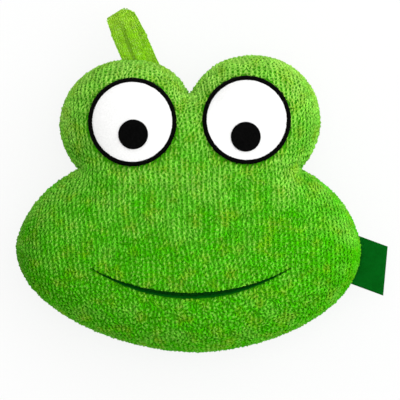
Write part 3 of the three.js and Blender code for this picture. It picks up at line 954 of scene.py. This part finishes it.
# The strip's middle line at even steps, with the ways across it, into its eye and along it.
def loopLine(steps):
    square = np.array([loopLean[1], -loopLean[0], 0.0])
    start = loopPlace["point"] + loopPlace["out"] * (loopOf["fold"] + loopOf["gap"])
    fullest = math.sin(2 * math.pi / 3) * math.sin(math.pi / 3) ** 2  # where the eye is widest
    reachTop = loopOf["length"] + loopOf["topOver"] - loopOf["strip"] / 2
    turn = np.linspace(0, 2 * math.pi, curvePoints)
    drop = loopOf["swell"] / fullest * np.sin(turn) * np.sin(turn / 2) ** 2
    reach = reachTop * (1 - np.cos(turn)) / 2
    z = -drop - (loopOf["strip"] / 2 + loopOf["gap"] / 2) * np.cos(turn / 2)
    side = loopOf["stagger"] * np.cos(turn / 2)
    points = start + loopLean * reach[:, None] + loopPlace["along"] * side[:, None] + np.outer(z, (0, 0, 1))
    tail = loopOf["inside"] + loopOf["fold"] + loopOf["gap"]
    inside = np.linspace(tail, 0, loopOf["tailSteps"])[:-1, None]
    first = points[0] - loopLean * inside
    last = (points[-1] - loopLean * inside)[::-1]
    share = np.concatenate([np.zeros(len(inside)), reach / reachTop, np.zeros(len(inside))])
    across = unit(loopPlace["along"] + (square - loopPlace["along"]) * share[:, None])
    across = across + loopLean * loopOf["skew"] * share[:, None] ** 3
    small = 1e-6  # keeps the ways across out of the lengths
    line = evenly(np.column_stack([np.concatenate([first, points, last]), across * small]), steps)
    middle = line[:, :3]
    across = line[:, 3:] / small
    for _ in range(loopOf["smooth"]):
        middle[1:-1] = middle[1:-1] / 2 + (middle[2:] + middle[:-2]) / 4
    tangent = unit(np.gradient(middle, axis=0))
    inward = unit(np.cross(across, tangent))
    return middle, across, inward, tangent


# How far points of the strip are below its top, as a share of a length.
def belowTop(middle, length):
    reach = middle @ loopLean
    return np.clip((reach.max() - reach) / length, 0, 1)


# The strip's top right corner is round: where a point across the strip lies when it is drawn in.
def loopSide(middle, side):
    size = loopOf["corner"]
    down = belowTop(middle, size)
    drawn = size * (1 - np.sqrt(1 - (1 - down) ** 2))
    return side - drawn * (side / loopOf["width"] + 0.5)


def lineLength(line):
    return np.linalg.norm(np.diff(line, axis=0), axis=1).sum()


def makeLoop():
    middle, across, inward, _ = loopLine(loopOf["steps"])
    half = loopOf["width"] / 2 + loopOf["hem"]
    flat = half - loopOf["bevel"]
    thick = loopOf["ground"] / 2
    groove = loopOf["groove"]
    deep = loopOf["grooveDeep"] * belowTop(middle, loopOf["grooveFade"])[:, None]
    profile = [(-flat, -thick), (-groove, -thick), (0, deep - thick), (groove, -thick), (flat, -thick),
               (half, 0), (flat, thick), (0, thick), (-flat, thick), (-half, 0)]
    rings = np.stack([middle + across * loopSide(middle, a)[:, None] + inward * b for a, b in profile], 1)
    strip = piece("loop_strip", *skin(rings, middle[0], middle[-1]), loopGround)
    return strip, lineLength(middle)


def makeLoopPile():
    steps = loopPileOf["steps"]
    middle, across, inward, tangent = loopLine(steps)
    rows = int(lineLength(middle) / loopPileOf["course"])
    columns = math.ceil(loopOf["width"] / loopPileOf["wale"])
    where = (np.arange(rows) + 0.5) / rows * steps
    shift = random.uniform(-loopPileOf["shift"], loopPileOf["shift"], columns)
    index = np.repeat(where[None], columns, 0) + shift[:, None] * steps / rows
    index = np.clip(index, 0, steps).astype(int)
    offset = (np.arange(columns) + 0.5 - columns / 2) * loopPileOf["wale"]
    offset = offset[:, None] + random.normal(0, loopPileOf["stray"], index.shape)
    index = index.ravel()
    offset = loopSide(middle[index], offset.ravel())[:, None]
    fade = belowTop(middle, loopOf["grooveFade"])[index, None]
    parts = []
    for way in (1, -1):
        # Painted shade: stitches sunk in the strip's groove are darkened.
        sunk = np.maximum(1 - np.abs(offset) / loopOf["groove"], 0) * fade * (way < 0)
        lift = way * loopOf["ground"] / 2 + loopOf["grooveDeep"] * sunk
        places = middle[index] + across[index] * offset + inward[index] * lift
        parts.append((places, unit(across[index]) * way, tangent[index], inward[index] * way, sunk[:, 0]))
    places, wide, down, up, sunk = (np.concatenate(p) for p in zip(*parts))
    return makePile("loop_pile", places, wide, down, up, loopPileOf, loopYarn, sunk)


loopStrip, loopLength = makeLoop()
loopPile = makeLoopPile()
for made in (loopStrip, loopPile):
    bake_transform(made)
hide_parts("hanging_loop", "loop_tail")
print("loop made, strip", round(loopLength, 1))


# Side tag: a ribbon folded in half, with both ends in the seam.
tagOf = {
    "fromCheek": 5.1, "length": 9.7, "droop": math.radians(20.2), "turn": math.radians(6), "width": 20.0,
    "ribbon": 0.35, "fold": 1.2, "slot": 0.3, "inside": 6.6, "bend": 0.9,
    "curl": 0.35, "curlReach": 10.0, "curlTurn": 0.16, "curlStart": 0.6,
    "legPoints": 36, "bendPoints": 9, "columns": 29, "low": (0, 80, 10), "high": (2, 100, 22),
}
tagPlace = seamPlace(sideCurves(rightSide)["jaw"], -tagOf["fromCheek"], 1, tagOf["turn"])


def makeTag():
    reachWay = np.array([math.cos(tagOf["droop"]), -math.sin(tagOf["droop"]), 0.0])
    level = (tagOf["slot"] + tagOf["ribbon"]) / 2
    far = tagOf["fold"] + tagOf["length"] - level - tagOf["ribbon"] / 2
    reach = np.linspace(-tagOf["inside"], far, tagOf["legPoints"])
    turn = np.linspace(math.pi / 2, -math.pi / 2, tagOf["bendPoints"])[1:-1]
    leg = np.column_stack([reach, np.full(len(reach), level)])
    bend = np.column_stack([far + level * np.cos(turn), level * np.sin(turn)])
    line = np.concatenate([leg, bend, (leg * (1, -1))[::-1]])
    normal = unit(np.gradient(line, axis=0))[:, ::-1] * (-1, 1)
    width = np.linspace(-tagOf["width"] / 2, tagOf["width"] / 2, tagOf["columns"])

    def place(points, side):
        d, z = points[:, 0], points[:, 1]
        swing = math.sin(side * tagOf["curlTurn"] + tagOf["curlStart"])
        lift = tagOf["curl"] * np.clip(d / tagOf["curlReach"], 0, 1) ** 2 * swing
        spot = tagPlace["point"] + reachWay * d[:, None] + tagPlace["along"] * side
        spot[:, 2] += z + lift
        return spot

    half = tagOf["ribbon"] / 2
    over = [place(line + normal * half, side) for side in width]
    under = [place(line - normal * half, side) for side in width[::-1]]
    rings = np.stack(over + under, 1)
    ways = (tuple(reachWay), tuple(tagPlace["along"]))
    shader = ribbonShader("tagRibbon", tagOf["low"], tagOf["high"], *ways)
    return piece("tag_ribbon", *skin(rings, rings[0].mean(0), rings[-1].mean(0)), shader), lineLength(line)


tagRibbon, tagLength = makeTag()
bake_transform(tagRibbon)
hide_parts("side_tag", "tag_tail")
print("tag made, ribbon", round(tagLength, 1))
